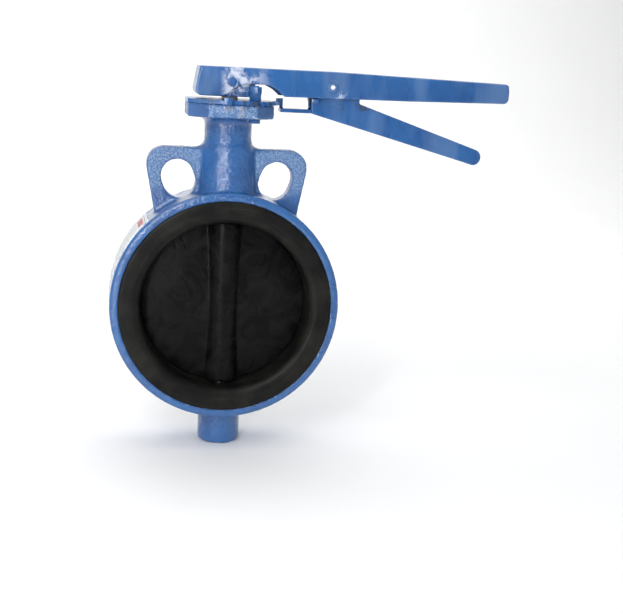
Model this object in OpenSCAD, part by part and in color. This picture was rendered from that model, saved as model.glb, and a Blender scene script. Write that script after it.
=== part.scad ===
// Wafer butterfly valve with a latching hand lever, drawn shut.
// The origin is where the pipe axis (Y) crosses the stem axis (Z).
// The lever points along +X when the valve is shut and along -Y when it is open.

/* [Ring] */
// Bore of the rubber seat
bore_d = 156; // [120:1:200]
// Radial thickness of the rubber seat in the bore
liner_t = 10; // [8:0.5:14]
// Radial thickness of the iron ring outside the seat
ring_wall = 18; // [14:0.5:24]
// Width of the iron ring along the pipe
ring_w = 66; // [50:1:80]
// Rounding of the ring's outer edges
ring_round = 3; // [1:0.5:5]

/* [Seat] */
// Width of the bare iron rim outside the seat's face lip
rim_w = 7.5; // [5:0.5:12]
// Thickness of the seat's face lip
lip_t = 3; // [2:0.5:5]
// How far the face lip stands out of the iron
lip_proud = 1.5; // [0.5:0.5:2]
// Rounding of the seat where the lip turns into the bore
seat_round = 8; // [4:0.5:10]
// Width of the rib that keys the seat into the ring
rib_w = 16; // [10:1:24]
// Height of the rib that keys the seat into the ring
rib_h = 3; // [2:0.5:5]

/* [Disc] */
// Gap between the disc's spherical edge and the seat
disc_gap = 0.4; // [0.3:0.1:0.8]
// Thickness of the disc at its edge
disc_edge_t = 9; // [7:0.5:14]
// Thickness of the disc's web beside the hub
disc_mid_t = 19; // [14:0.5:24]
// Diameter of the disc's vertical hub
disc_hub_d = 32; // [28:0.5:40]
// Diameter of the pins that fix the disc to the stem
disc_pin_d = 6.5; // [5:0.5:8]
// Distance between the two disc pins
disc_pin_span = 62; // [44:1:80]
// How far a disc pin stands out of the hub
disc_pin_proud = 0.8; // [0.4:0.1:1.5]
// Metal left behind the blind end of a disc pin
disc_pin_floor = 5; // [3:0.5:7]

/* [Stem] */
// Diameter of the stem
stem_d = 18; // [15:0.5:20]
// Size across the flats of the stem's square top
stem_sq = 14; // [12:0.5:16]
// Wall of the stem's bushes
bush_wall = 3; // [2:0.5:4]
// Length of each bush
bush_len = 24; // [16:1:28]
// Radial running clearance of shafts and pins
fit_gap = 0.05; // [0.02:0.01:0.1]
// Gap between the stem and the rubber that seals it
seal_gap = 0.3; // [0.2:0.05:0.5]
// Thickness of the stem's thrust washers
thrust_t = 2; // [1.5:0.5:3]
// Thickness of the stem's retaining ring
circlip_t = 1.6; // [1:0.1:2]
// Depth of the retaining ring's groove
circlip_groove = 0.8; // [0.5:0.1:1.2]
// Radial width of the retaining ring
circlip_w = 4; // [3:0.5:5]

/* [Neck and boss] */
// Diameter of the neck
neck_d = 43.5; // [38:0.5:50]
// Diameter of the neck's root on the ring
neck_root_d = 56; // [48:1:60]
// Height of the top flange's face above the ring
flange_rise = 78.6; // [66:0.2:100]
// Thickness of the top flange
flange_t = 12.6; // [10:0.2:20]
// Size of the top flange across its main flats
flange_w = 78; // [76:1:100]
// Length of each main flat
flange_flat = 42; // [34:1:50]
// Fillet under the top flange
flange_fillet = 7; // [3:0.5:8]
// Diameter of the bottom boss
boss_d = 40; // [36:1:48]
// Length of the bottom boss below the ring
boss_len = 31; // [26:1:40]
// Rounding of the boss's end
boss_round = 3.5; // [1:0.5:6]
// Iron left below the blind stem hole
boss_floor = 10; // [6:1:14]

/* [Ears] */
// Thickness of the ears along the pipe
ear_t = 18; // [12:1:26]
// Height of the ears' flat top above the ring
ear_rise = 37.7; // [34:0.1:46]
// Width of the slotted ear holes
ear_hole_d = 30; // [22:0.5:32]
// Angle from the stem to each ear hole
ear_hole_angle = 21.25; // [20:0.25:24]
// Height of a slot's inner centre above the ring
ear_hole_rise = 14.8; // [13:0.1:18]
// Length of an ear slot between its two centres
ear_slot = 5.4; // [2:0.2:8]
// Iron beside an ear hole on its outer side
ear_wall = 13.1; // [10:0.1:18]
// Rounding of an ear's outer corner
ear_round = 16.5; // [8:0.5:20]
// Lean of an ear's outer edge from the vertical
ear_lean = 10.4; // [5:0.1:16]
// Fillet between the ears' top and the neck
ear_fillet = 8; // [4:0.5:12]

/* [Notch plate] */
// Thickness of the notch plate
plate_t = 3.2; // [2.5:0.1:5]
// How far the toothed edge stands past the flange's corners
plate_over = 1.6; // [0.5:0.1:3]
// Number of lever positions from shut to open
notch_count = 10; // [4:1:12]
// Width of a notch
notch_w = 4.6; // [4:0.1:6]
// Depth of a notch
notch_h = 4; // [2:0.5:5]
// Radial height of the end stops past the toothed edge
stop_h = 3.5; // [2:0.5:6]
// Height of the end stops above the plate
stop_rise = 2.6; // [1:0.1:3]
// Width of an end stop along the edge
stop_w = 7; // [4:0.5:12]
// Circle of the four holes in the flange and plate
screw_pcd = 60; // [58:1:66]
// Size of the screws and of the stop bolt
screw_d = 6; // [5:0.5:8]

/* [Lever] */
// Gap between the notch plate and the lever's head
lever_gap = 2.9; // [0.8:0.1:4]
// Depth of the lever's channel at its head
lever_depth = 26.1; // [20:0.1:32]
// Reach of the lever from the stem axis
lever_reach = 263; // [220:1:330]
// Length of the lever's head behind the stem axis
lever_back = 28.8; // [27:0.2:38]
// Slope of the lever's blunt back end
lever_back_lean = 3.5; // [0:0.5:8]
// Width of the lever's head
lever_w = 41; // [38:0.5:50]
// Width of the lever's grip
grip_w = 25; // [22:0.5:34]
// Start of the lever's taper from the stem axis
taper_from = 40; // [36:1:60]
// End of the lever's taper from the stem axis
taper_to = 165; // [150:1:190]
// Thickness of the lever's sheet
lever_t = 3; // [2:0.25:3.5]
// Fall of the lever's top from the taper to its tip
lever_fall = 3.6; // [0:0.1:8]
// Depth of the lever's channel at its tip
tip_depth = 18.2; // [14:0.2:22]
// How much shallower the channel is ahead of its arch
lever_rise = 1.8; // [0:0.1:4]
// Rounding of the head's lower back corner
head_round = 5.5; // [4:0.5:12]
// Rounding of the tip's lower corner
tip_round = 5; // [2:0.5:8]
// Gap between the stop nuts and the arch in the lever's sides
arch_gap = 1; // [0.8:0.1:3]
// Clear length of the arch either side of the stop nuts
arch_side = 3; // [2:0.5:6]
// Run of the arch's slope behind the stop nuts
arch_run_back = 20; // [8:1:22]
// Run of the arch's slope ahead of the stop nuts
arch_run_front = 14.5; // [8:0.5:20]
// Diameter of the cross pin that fixes the lever to the stem
cross_pin_d = 7.8; // [6:0.2:8]
// How far the cross pin stands out of the lever
cross_pin_proud = 1; // [0.4:0.1:2]

/* [Trigger] */
// Distance from the toothed edge to the trigger's pivot
pivot_run = 45.6; // [40:0.2:70]
// Depth of the trigger's pivot below the lever's top
pivot_drop = 13.8; // [10:0.2:15]
// Diameter of the trigger's pivot pin
pivot_d = 6; // [5:0.5:8]
// Diameter of the pivot pin's heads
pivot_head_d = 9; // [8:0.5:13]
// Height of the pivot pin's heads
pivot_head_h = 1.6; // [1:0.1:3]
// Gap between the trigger's tooth and the toothed edge
latch_gap = 0.5; // [0.3:0.1:1]
// Width of the trigger's tooth
tooth_w = 4; // [3:0.1:4]
// Thickness of the trigger's tooth
tooth_t = 3; // [2:0.25:4]
// How far the tooth stands above the notch plate
tooth_over = 3; // [0:0.5:4]
// Length of the trigger's flat tongue
tongue_len = 28.5; // [24:0.5:36]
// Width of the trigger's flat tongue
tongue_w = 16; // [8:0.5:22]
// Depth of the tongue below the notch plate
tongue_drop = 2.8; // [2:0.2:8]
// Width of the trigger over its sides
trigger_w = 22.4; // [18:0.2:25]
// Width of the trigger's grip end over its sides
trigger_tip_w = 18.4; // [16:0.2:24]
// Thickness of the trigger's sheet
trigger_t = 2.5; // [1.5:0.25:3]
// Length of the trigger from its pivot to its tip
trigger_len = 149; // [120:1:180]
// Downward slope of the trigger's web
web_slope = 14.8; // [8:0.2:18]
// Downward slope of the trigger's upper edges
edge_slope = 18.3; // [12:0.1:22]
// Length of the trigger's sides ahead of the pivot before they slope down
side_depth = 27.5; // [18:0.5:32]
// Rounding of the trigger's tip
trigger_nose = 7.5; // [6:0.5:9]
// Wire of the trigger's return spring
wire_d = 1.4; // [1:0.1:1.8]
// Number of turns of the trigger's return spring
spring_turns = 6; // [3:1:8]

/* [Name plate] */
// Length of the name plate round the ring
label_len = 60; // [40:1:80]
// Width of the name plate along the pipe
label_w = 44; // [30:1:48]
// Thickness of the name plate
label_t = 0.4; // [0.3:0.1:0.8]
// Angle of the name plate above the pipe's mid height
label_angle = 31; // [0:1:45]

/* [Hidden] */
$fn = 96;

// Overrun of a cut past the face it opens
cut = 1;
paint = "royalblue";

// Ring and seat
bore_r = bore_d / 2;
seat_r = bore_r + liner_t;
ring_r = seat_r + ring_wall;
lip_r = ring_r - rim_w;
face_y = ring_w / 2;
lip_y = face_y + lip_proud;

// Disc
disc_r = bore_r - disc_gap;
disc_hub_r = disc_hub_d / 2;

// Neck, flange and boss
flange_z = ring_r + flange_rise;
flange_under = flange_z - flange_t;
flange_corner_r = norm([flange_w, flange_flat]) / 2;
boss_z = -ring_r - boss_len;
neck_r = neck_d / 2;

// Stem and what it turns in
stem_r = stem_d / 2;
hole_r = stem_r + bush_wall;
stem_hole_bottom = boss_z + boss_floor;
stem_bottom = stem_hole_bottom + thrust_t + 2 * fit_gap;
thrust_top = flange_z - 2 * thrust_t - circlip_t - 2 * seal_gap;
circlip_z = thrust_top + thrust_t + seal_gap;
pocket_r = stem_r + circlip_w + 2 * cut;
ring_spacing = 6;
o_ring_r = (bush_wall - seal_gap) / 2;
o_ring_mid = stem_r + seal_gap + o_ring_r;
neck_bush_z = ring_r + 4;
o_ring_z = neck_bush_z + bush_len + o_ring_r + 1;

// Ears
ear_hole_r = ear_hole_d / 2;
slot_in = ring_r + ear_hole_rise;
slot_out = slot_in + ear_slot;
ear_top = ring_r + ear_rise;
ear_x = slot_out * sin(ear_hole_angle) + ear_hole_r + ear_wall;
// How far the ears' fillet runs into the neck, so that it never just touches it
neck_bite = 1;

// Notch plate and its fixings
plate_top = flange_z + plate_t;
plate_r = flange_corner_r + plate_over;
notch_step = 90 / (notch_count - 1);
stop_step = asin((notch_w / 2 + stop_w / 2) / plate_r);
screw_r = screw_d / 2;
bolt_xy = screw_pcd / 2 * cos(45);
hex_flats = screw_d * 5 / 3;
hex_r = hex_flats / 2 / cos(30);
nut_h = screw_d * 1.05;
bolt_head_h = screw_d * 2 / 3;
nuts_top = plate_top + 2 * nut_h;
bolt_top = nuts_top + 1;

// Lever
lever_under = plate_top + lever_gap;
lever_top = lever_under + lever_depth;
front_under = lever_under + lever_rise;
arch_top = bolt_top + arch_gap;
arch_in = bolt_xy - hex_r - arch_side;
arch_out = screw_pcd / 2 + hex_r + arch_side - 4;
hub_z = lever_under;
hub_top = lever_top - lever_t;
hub_r = screw_pcd / 2 - hex_r - 0.8;
cross_pin_r = cross_pin_d / 2;
cross_pin_z = lever_top - 13;
stem_top = hub_top - 1;

// Trigger
tooth_x = plate_r + latch_gap;
wall_x = tooth_x + tongue_len;
pivot_x = plate_r + pivot_run + latch_gap;
pivot_z = lever_top - pivot_drop;
pivot_r = pivot_d / 2;
tongue_top = flange_z - tongue_drop;
tongue_under = tongue_top - trigger_t - 1;
trigger_end = pivot_x + trigger_len;
tab_h = 3.4;

// Half the lever's outside width at a distance from the stem
function lever_half(x) =
    x <= taper_from ? lever_w / 2
    : x >= taper_to ? grip_w / 2
    : lever_w / 2 - (lever_w - grip_w) / 2 * (x - taper_from) / (taper_to - taper_from);

// Height of the trigger's web along its length
function web_z(x) = tongue_under - (x - wall_x) * tan(web_slope);

// Points of an arc
function arc(cx, cy, r, from, to, steps = 10) =
    [for (i = [0 : steps]) let (a = from + (to - from) * i / steps) [cx + r * cos(a), cy + r * sin(a)]];

// A shape drawn in X and height, made solid across the pipe axis
module side_plate(depth) {
    rotate([90, 0, 0]) linear_extrude(depth, center = true) children();
}

// A profile drawn in radius and width, turned round the pipe axis
module round_pipe(sweep = 360) {
    rotate([-90, 0, 0]) rotate_extrude(angle = sweep) children();
}

module stem_cut(r, low, high) {
    translate([0, 0, low]) cylinder(r = r, h = high - low);
}

module rounded_box_2d(x0, x1, y0, y1, r) {
    translate([x0, y0 + r]) square([x1 - x0, y1 - y0 - 2 * r]);
    translate([x0, y0]) square([x1 - x0 - r, y1 - y0]);
    for (y = [y0 + r, y1 - r]) translate([x1 - r, y]) circle(r);
}

module octagon_2d() {
    w = flange_w / 2;
    f = flange_flat / 2;
    polygon([[w, f], [f, w], [-f, w], [-w, f], [-w, -f], [-f, -w], [f, -w], [w, -f]]);
}

module hex_prism(z, h) {
    translate([0, 0, z]) cylinder(r = hex_r, h = h, $fn = 6);
}

module at_screws() {
    for (a = [45, 135, 225]) rotate([0, 0, a]) translate([screw_pcd / 2, 0, 0]) children();
}

module at_stop() {
    rotate([0, 0, -45]) translate([screw_pcd / 2, 0, 0]) children();
}

// One ear's outline, on the +X side
module ear_2d() {
    cx = ear_x - ear_round;
    cz = ear_top - ear_round;
    tx = cx + ear_round * cos(ear_lean);
    tz = cz - ear_round * sin(ear_lean);
    foot = ring_r * 0.75;
    polygon(concat(
        [[0, foot], [tx - (tz - foot) * tan(ear_lean), foot]],
        arc(cx, cz, ear_round, -ear_lean, 90),
        [[0, ear_top]]
    ));
    fillet_x = neck_r + ear_fillet - neck_bite;
    difference() {
        translate([0, ear_top]) square([fillet_x, ear_fillet]);
        translate([fillet_x, ear_top + ear_fillet]) circle(ear_fillet);
    }
}

module ear_slot_2d() {
    rotate(-ear_hole_angle) {
        for (r = [slot_in, slot_out]) translate([0, r]) circle(ear_hole_r);
        translate([-ear_hole_r, slot_in]) square([ear_hole_d, ear_slot]);
    }
}

module ears() {
    side_plate(ear_t) difference() {
        for (m = [0, 1]) mirror([m, 0]) ear_2d();
        for (m = [0, 1]) mirror([m, 0]) ear_slot_2d();
    }
}

module neck() {
    root = ring_r - 8;
    shoulder = ear_top;
    step = (neck_root_d - neck_d) / 2 * 0.6;
    rotate_extrude() polygon(concat(
        [[0, root], [neck_root_d / 2, root]],
        [[neck_r + step, shoulder]],
        arc(neck_r + ear_fillet, shoulder + ear_fillet, ear_fillet, 180 + acos(1 - step / ear_fillet), 180, 6),
        arc(neck_r + flange_fillet, flange_under - flange_fillet, flange_fillet, 180, 90, 6),
        [[0, flange_under]]
    ));
}

module boss() {
    rotate_extrude() rotate(-90)
        rounded_boss_2d();
}

// The boss's half outline, drawn with its length along X
module rounded_boss_2d() {
    r = boss_d / 2;
    square([-boss_z - boss_round, r]);
    square([-boss_z, r - boss_round]);
    translate([-boss_z - boss_round, r - boss_round]) circle(boss_round);
}

module body() color(paint) difference() {
    union() {
        round_pipe() rounded_box_2d(0, ring_r, -face_y, face_y, ring_round);
        ears();
        neck();
        boss();
        translate([0, 0, flange_under]) linear_extrude(flange_t) octagon_2d();
    }
    // Seat of the rubber liner, with its key groove and face recesses
    rotate([90, 0, 0]) cylinder(r = seat_r, h = ring_w + 2 * cut, center = true);
    rotate([90, 0, 0]) cylinder(r = seat_r + rib_h, h = rib_w, center = true);
    for (m = [0, 1]) mirror([0, m, 0])
        translate([0, lip_y, 0]) rotate([90, 0, 0]) cylinder(r = lip_r, h = lip_t);
    // Stem hole, blind at the bottom, with a pocket for the retaining ring
    stem_cut(hole_r, stem_hole_bottom, flange_z + cut);
    stem_cut(pocket_r, thrust_top, flange_z + cut);
    // Screw holes, and a spot face for the stop bolt's head
    at_screws() stem_cut(screw_r + fit_gap, flange_under - flange_fillet - cut, flange_z + cut);
    at_stop() stem_cut(screw_r + fit_gap, flange_under - cut, flange_z + cut);
    at_stop() stem_cut(hex_r + 0.8, flange_under - flange_fillet - cut, flange_under);
}

module liner_2d() {
    difference() {
        union() {
            translate([bore_r, -lip_y]) square([liner_t, 2 * lip_y]);
            for (y = [-lip_y, lip_y - lip_t]) translate([bore_r, y]) square([lip_r - bore_r, lip_t]);
            translate([bore_r, -rib_w / 2]) square([liner_t + rib_h, rib_w]);
        }
        for (m = [0, 1]) mirror([0, m]) difference() {
            translate([bore_r - cut, lip_y - seat_round]) square([seat_round + cut, seat_round + cut]);
            translate([bore_r + seat_round, lip_y - seat_round]) circle(seat_round);
        }
    }
}

module seat_liner() color("#202224") difference() {
    round_pipe() liner_2d();
    stem_cut(stem_r + seal_gap, -ring_r, ring_r);
}

// The disc's web: thick beside the hub, thin at the edge
module disc_web_2d() {
    steps = 12;
    edge = disc_edge_t / 2;
    mid = disc_mid_t / 2;
    upper = [for (i = [0 : steps]) let (u = i / steps) [disc_r * u, edge + (mid - edge) * (1 - u * u)]];
    lower = [for (i = [0 : steps]) let (u = 1 - i / steps) [disc_r * u, -edge - (mid - edge) * (1 - u * u)]];
    polygon(concat(upper, lower));
}

module disc() color("#2b2c2e") difference() {
    intersection() {
        union() {
            round_pipe() disc_web_2d();
            cylinder(r = disc_hub_r, h = bore_d, center = true);
        }
        sphere(r = disc_r);
    }
    stem_cut(stem_r + fit_gap, -bore_r, bore_r);
    disc_pin_set(fit_gap, cut);
}

// The two blind pins, entered from the +Y face
module disc_pin_set(gap, over) {
    for (z = [-1, 1]) translate([0, disc_pin_floor - disc_hub_r - gap, z * disc_pin_span / 2])
        rotate([-90, 0, 0])
            cylinder(r = disc_pin_d / 2 + gap, h = 2 * disc_hub_r - disc_pin_floor + disc_pin_proud + over + gap);
}

module disc_pins() color("silver") disc_pin_set(0, 0);

module stem() color("silver") difference() {
    union() {
        stem_cut(stem_r, stem_bottom, plate_top - 1);
        intersection() {
            stem_cut(stem_r, plate_top - 1, stem_top);
            translate([-stem_sq / 2, -stem_sq / 2, plate_top - 1])
                cube([stem_sq, stem_sq, stem_top - plate_top + 1]);
        }
    }
    disc_pin_set(fit_gap, 0);
    translate([0, 0, cross_pin_z]) rotate([90, 0, 0])
        cylinder(r = cross_pin_r + fit_gap, h = stem_d + 2 * cut, center = true);
    difference() {
        stem_cut(stem_r + cut, circlip_z, circlip_z + circlip_t);
        stem_cut(stem_r - circlip_groove, circlip_z - cut, circlip_z + circlip_t + cut);
    }
}

// A plain ring round the stem
module stem_ring(inner, outer, z, h) {
    difference() {
        stem_cut(outer, z, z + h);
        stem_cut(inner, z - cut, z + h + cut);
    }
}

module upper_bush() color("peru")
    stem_ring(stem_r + fit_gap, hole_r, thrust_top - bush_len, bush_len);

module neck_bush() color("peru")
    stem_ring(stem_r + fit_gap, hole_r, neck_bush_z, bush_len);

module lower_bush() color("peru")
    stem_ring(stem_r + fit_gap, hole_r, stem_hole_bottom + thrust_t, bush_len);

module stem_o_rings() color("#202224")
    for (i = [0, 1]) translate([0, 0, o_ring_z + i * ring_spacing])
        rotate_extrude() translate([o_ring_mid, 0]) circle(o_ring_r, $fn = 24);

module thrust_washer() color("peru")
    stem_ring(stem_r + fit_gap, pocket_r - 0.5, thrust_top, thrust_t);

module bottom_washer() color("peru")
    stem_cut(hole_r, stem_hole_bottom, stem_hole_bottom + thrust_t);

// An open retaining ring that rides in the stem's groove
module stem_circlip() color("gray") difference() {
    stem_ring(stem_r - circlip_groove, stem_r - circlip_groove + circlip_w, circlip_z, circlip_t);
    translate([-3, 0, circlip_z - cut]) cube([6, stem_d, circlip_t + 2 * cut]);
}

// The end stops past each end of the toothed sector, from a radius outwards
module stop_pair_2d(from) {
    for (a = [stop_step, -90 - stop_step]) rotate(a)
        translate([from, -stop_w / 2]) square([plate_r + stop_h - from, stop_w]);
}

module notch_plate() color(paint) difference() {
    translate([0, 0, flange_z]) {
        linear_extrude(plate_t) difference() {
            union() {
                octagon_2d();
                // Toothed sector from shut (+X) to open (-Y)
                intersection() {
                    circle(plate_r);
                    rotate(stop_step + 4) translate([0, -2 * plate_r]) square(2 * plate_r);
                    rotate(-90 - stop_step - 4) square(2 * plate_r);
                }
                stop_pair_2d(plate_r / 2);
            }
            for (i = [0 : notch_count - 1]) rotate(-i * notch_step)
                translate([plate_r - notch_h, -notch_w / 2]) square([notch_h + stop_h, notch_w]);
        }
        linear_extrude(plate_t + stop_rise) stop_pair_2d(plate_r - cut);
    }
    stem_cut(stem_r + 2 * seal_gap, flange_z - cut, plate_top + cut);
    at_screws() stem_cut(screw_r + fit_gap, flange_z - cut, plate_top + cut);
    at_screws() translate([0, 0, plate_top - screw_r])
        cylinder(r1 = screw_r + fit_gap, r2 = screw_d + fit_gap, h = screw_r);
    at_stop() stem_cut(screw_r + fit_gap, flange_z - cut, plate_top + cut);
}

// Countersunk screws, flush with the plate so that the lever's head passes over
module plate_screws() color("slategray") at_screws() difference() {
    union() {
        stem_cut(screw_r, flange_under + 2, plate_top - screw_r);
        translate([0, 0, plate_top - screw_r]) cylinder(r1 = screw_r, r2 = screw_d, h = screw_r);
    }
    translate([0, 0, plate_top - 2]) cylinder(r = screw_r * 0.66, h = 2 + cut, $fn = 6);
}

module stop_bolt() color(paint) at_stop() {
    hex_prism(flange_under - bolt_head_h, bolt_head_h);
    stem_cut(screw_r, flange_under, bolt_top);
}

// Nut and lock nut, with a hair's gap between them
module stop_nuts() color(paint) at_stop() for (i = [0, 1]) rotate([0, 0, 24 * i]) difference() {
    hex_prism(plate_top + i * (nut_h + fit_gap), nut_h);
    stem_cut(screw_r + fit_gap, plate_top - cut, bolt_top);
}

module lever_side_2d() {
    back = -lever_back;
    tip_top = lever_top - lever_fall;
    polygon(concat(
        [[back, lever_top]],
        [[back - lever_back_lean, lever_under + head_round]],
        arc(back - lever_back_lean + head_round, lever_under + head_round, head_round, 180, 270, 8),
        [[arch_in, lever_under], [arch_out, front_under], [taper_to, front_under + 0.8]],
        arc(lever_reach - tip_round, tip_top - tip_depth + tip_round, tip_round, 270, 360, 8),
        [[lever_reach, tip_top - 2], [lever_reach - 2, tip_top]],
        [[taper_from + 60, lever_top]]
    ));
}

module lever_plan_2d(wall) {
    h = lever_w / 2 - wall;
    g = grip_w / 2 - wall;
    polygon([
        [-lever_back - lever_back_lean - cut, -h], [taper_from, -h], [taper_to, -g], [lever_reach + cut, -g],
        [lever_reach + cut, g], [taper_to, g], [taper_from, h], [-lever_back - lever_back_lean - cut, h]
    ]);
}

// The room inside the channel, open below and at the tip
module lever_room_2d() {
    back = -lever_back + lever_t;
    polygon([
        [back, lever_top - lever_t], [back - lever_back_lean, lever_under + head_round],
        [back - lever_back_lean, lever_under - head_round], [lever_reach + cut, lever_under - head_round],
        [lever_reach + cut, lever_top - lever_fall - lever_t], [taper_from + 60, lever_top - lever_t]
    ]);
}

// The arch that lets the lever's sides pass over the stop nuts
module arch_2d() {
    polygon([
        [arch_in - arch_run_back, lever_under - cut], [arch_in - arch_run_back / 3, arch_top - 2],
        [arch_in, arch_top], [arch_out - 4, arch_top], [arch_out, arch_top - 1],
        [arch_out + arch_run_front / 2, arch_top - 4.5],
        [arch_out + arch_run_front, front_under - cut], [arch_out + arch_run_front, lever_under - cut]
    ]);
}

module lever_block(wall) {
    low = lever_under - head_round;
    translate([0, 0, low]) linear_extrude(lever_top - low + cut) lever_plan_2d(wall);
}

module lever() color(paint) difference() {
    intersection() {
        side_plate(2 * lever_w) lever_side_2d();
        lever_block(0);
    }
    intersection() {
        side_plate(2 * lever_w) lever_room_2d();
        lever_block(lever_t);
    }
    side_plate(2 * lever_w) arch_2d();
    translate([0, 0, cross_pin_z]) rotate([90, 0, 0])
        cylinder(r = cross_pin_r + fit_gap, h = 2 * lever_w, center = true);
    translate([pivot_x, 0, pivot_z]) rotate([90, 0, 0])
        cylinder(r = pivot_r + fit_gap, h = 2 * lever_w, center = true);
}

// Block with a square socket that joins the lever to the stem
module lever_hub() color(paint) difference() {
    intersection() {
        stem_cut(hub_r, hub_z, hub_top);
        translate([-hub_r, lever_t - lever_w / 2, hub_z - cut])
            cube([2 * hub_r, lever_w - 2 * lever_t, hub_top - hub_z + 2 * cut]);
    }
    translate([-stem_sq / 2 - fit_gap, -stem_sq / 2 - fit_gap, hub_z - cut])
        cube([stem_sq + 2 * fit_gap, stem_sq + 2 * fit_gap, hub_top - hub_z + 2 * cut]);
    translate([0, 0, cross_pin_z]) rotate([90, 0, 0])
        cylinder(r = cross_pin_r + fit_gap, h = lever_w, center = true);
}

module cross_pin() color(paint) translate([0, 0, cross_pin_z]) rotate([90, 0, 0])
    cylinder(r = cross_pin_r, h = lever_w + 2 * cross_pin_proud, center = true);

module trigger_side_2d() {
    tip_low = web_z(trigger_end);
    side_z = tip_low + 2.25 * trigger_nose + (trigger_end - trigger_nose - pivot_x - side_depth) * tan(edge_slope);
    nose = trigger_nose;
    polygon(concat(
        [[wall_x, tongue_under], [trigger_end - nose - 2, web_z(trigger_end - nose - 2)]],
        arc(trigger_end - nose, tip_low + nose + nose / 4, nose, -90 - web_slope, 90 - edge_slope, 10),
        [[pivot_x + side_depth, side_z], [pivot_x + side_depth, front_under + 1]],
        arc(pivot_x, pivot_z, pivot_r + 4.5, 0, 130, 10),
        [[wall_x + 5, front_under + 3], [wall_x, front_under - 1]]
    ));
}

// The room between the trigger's sides, above its web
module trigger_room_2d() {
    end = trigger_end - trigger_t;
    polygon([
        [wall_x - cut, tongue_top + 0.01], [wall_x + 6, tongue_top + 0.01],
        [end, web_z(end) + (tongue_top - tongue_under)], [end, pivot_z + 3 * pivot_d],
        [wall_x - cut, pivot_z + 3 * pivot_d]
    ]);
}

module trigger_plan_2d(wall) {
    h = trigger_w / 2 - wall;
    g = trigger_tip_w / 2 - wall;
    polygon([
        [wall_x - cut, -h], [pivot_x + side_depth, -h], [trigger_end + cut, -g],
        [trigger_end + cut, g], [pivot_x + side_depth, h], [wall_x - cut, h]
    ]);
}

module trigger() color(paint) difference() {
    union() {
        difference() {
            intersection() {
                side_plate(2 * lever_w) trigger_side_2d();
                linear_extrude(2 * lever_top) trigger_plan_2d(0);
            }
            intersection() {
                side_plate(2 * lever_w) trigger_room_2d();
                linear_extrude(2 * lever_top) trigger_plan_2d(trigger_t);
            }
        }
        // Flat tongue that carries the tooth past the notch plate's edge
        translate([tooth_x, -tongue_w / 2, tongue_under])
            cube([tongue_len + 2 * cut, tongue_w, tongue_top - tongue_under]);
        translate([tooth_x, -tooth_w / 2, tongue_under]) cube([tooth_t, tooth_w, plate_top + tooth_over - tongue_under]);
        // Tabs that rest under the lever's sides
        for (m = [0, 1]) mirror([0, m, 0])
            translate([wall_x, trigger_w / 2 - trigger_t, front_under - tab_h - 0.5])
                cube([5, lever_half(wall_x) - trigger_w / 2 + trigger_t - 1, tab_h]);
    }
    translate([pivot_x, 0, pivot_z]) rotate([90, 0, 0])
        cylinder(r = pivot_r + fit_gap, h = 2 * lever_w, center = true);
}

module trigger_pin() color("silver") translate([pivot_x, 0, pivot_z]) rotate([90, 0, 0]) {
    head_y = lever_half(pivot_x - pivot_head_d / 2) + fit_gap;
    cylinder(r = pivot_r, h = 2 * head_y, center = true);
    for (m = [0, 1]) mirror([0, 0, m]) translate([0, 0, head_y])
        cylinder(r = pivot_head_d / 2, h = pivot_head_h);
}

// Torsion spring round the pivot pin, with a leg to the lever and a leg to the trigger
module trigger_spring() color("gray") {
    coil_r = pivot_r + 1.2 + wire_d / 2;
    pitch = wire_d * 1.15;
    per_turn = 16;
    sides = 8;
    leg = 12;
    start = 90;
    total = spring_turns * per_turn;
    half = spring_turns * pitch / 2;
    coil = [for (i = [0 : total]) let (a = start + 360 * i / per_turn)
        [coil_r * cos(a), -half + pitch * i / per_turn, coil_r * sin(a)]];
    path = concat([[-leg, -half, coil_r]], coil, [[leg, half, coil_r]]);
    last = len(path) - 1;
    points = [for (i = [0 : last]) let (
            ahead = path[min(i + 1, last)],
            behind = path[max(i - 1, 0)],
            along = (ahead - behind) / norm(ahead - behind),
            side = cross(along, [0, 1, 0]) / norm(cross(along, [0, 1, 0])),
            other = cross(side, along)
        ) for (k = [0 : sides - 1]) let (b = 360 * k / sides)
            path[i] + wire_d / 2 * (cos(b) * side + sin(b) * other)];
    walls = [for (i = [0 : last - 1]) for (k = [0 : sides - 1]) let (n = (k + 1) % sides)
        [i * sides + k, i * sides + n, (i + 1) * sides + n, (i + 1) * sides + k]];
    caps = [[for (k = [sides - 1 : -1 : 0]) k], [for (k = [0 : sides - 1]) last * sides + k]];
    translate([pivot_x, 0, pivot_z]) polyhedron(points, concat(walls, caps));
}

// Foil plate on the ring, on the side away from the lever
module name_plate() color("gainsboro") {
    spread = label_len / ring_r * 180 / PI;
    rotate([0, 180 + label_angle - spread / 2, 0]) round_pipe(spread)
        translate([ring_r, -label_w / 2]) square([label_t, label_w]);
}

body();
seat_liner();
disc();
disc_pins();
stem();
upper_bush();
neck_bush();
lower_bush();
stem_o_rings();
thrust_washer();
bottom_washer();
stem_circlip();
notch_plate();
plate_screws();
stop_bolt();
stop_nuts();
lever();
lever_hub();
cross_pin();
trigger();
trigger_pin();
trigger_spring();
name_plate();
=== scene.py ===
"""Wafer butterfly valve with a latching hand lever: its surfaces, finishes, light and camera.

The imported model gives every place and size. Lengths are metres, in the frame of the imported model:
Y along the pipe, Z up the stem, X along the lever when the valve is shut.
"""

import math

import bpy
from bpy.props import FloatProperty, FloatVectorProperty, IntProperty, PointerProperty
from mathutils import Matrix, Vector


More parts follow.
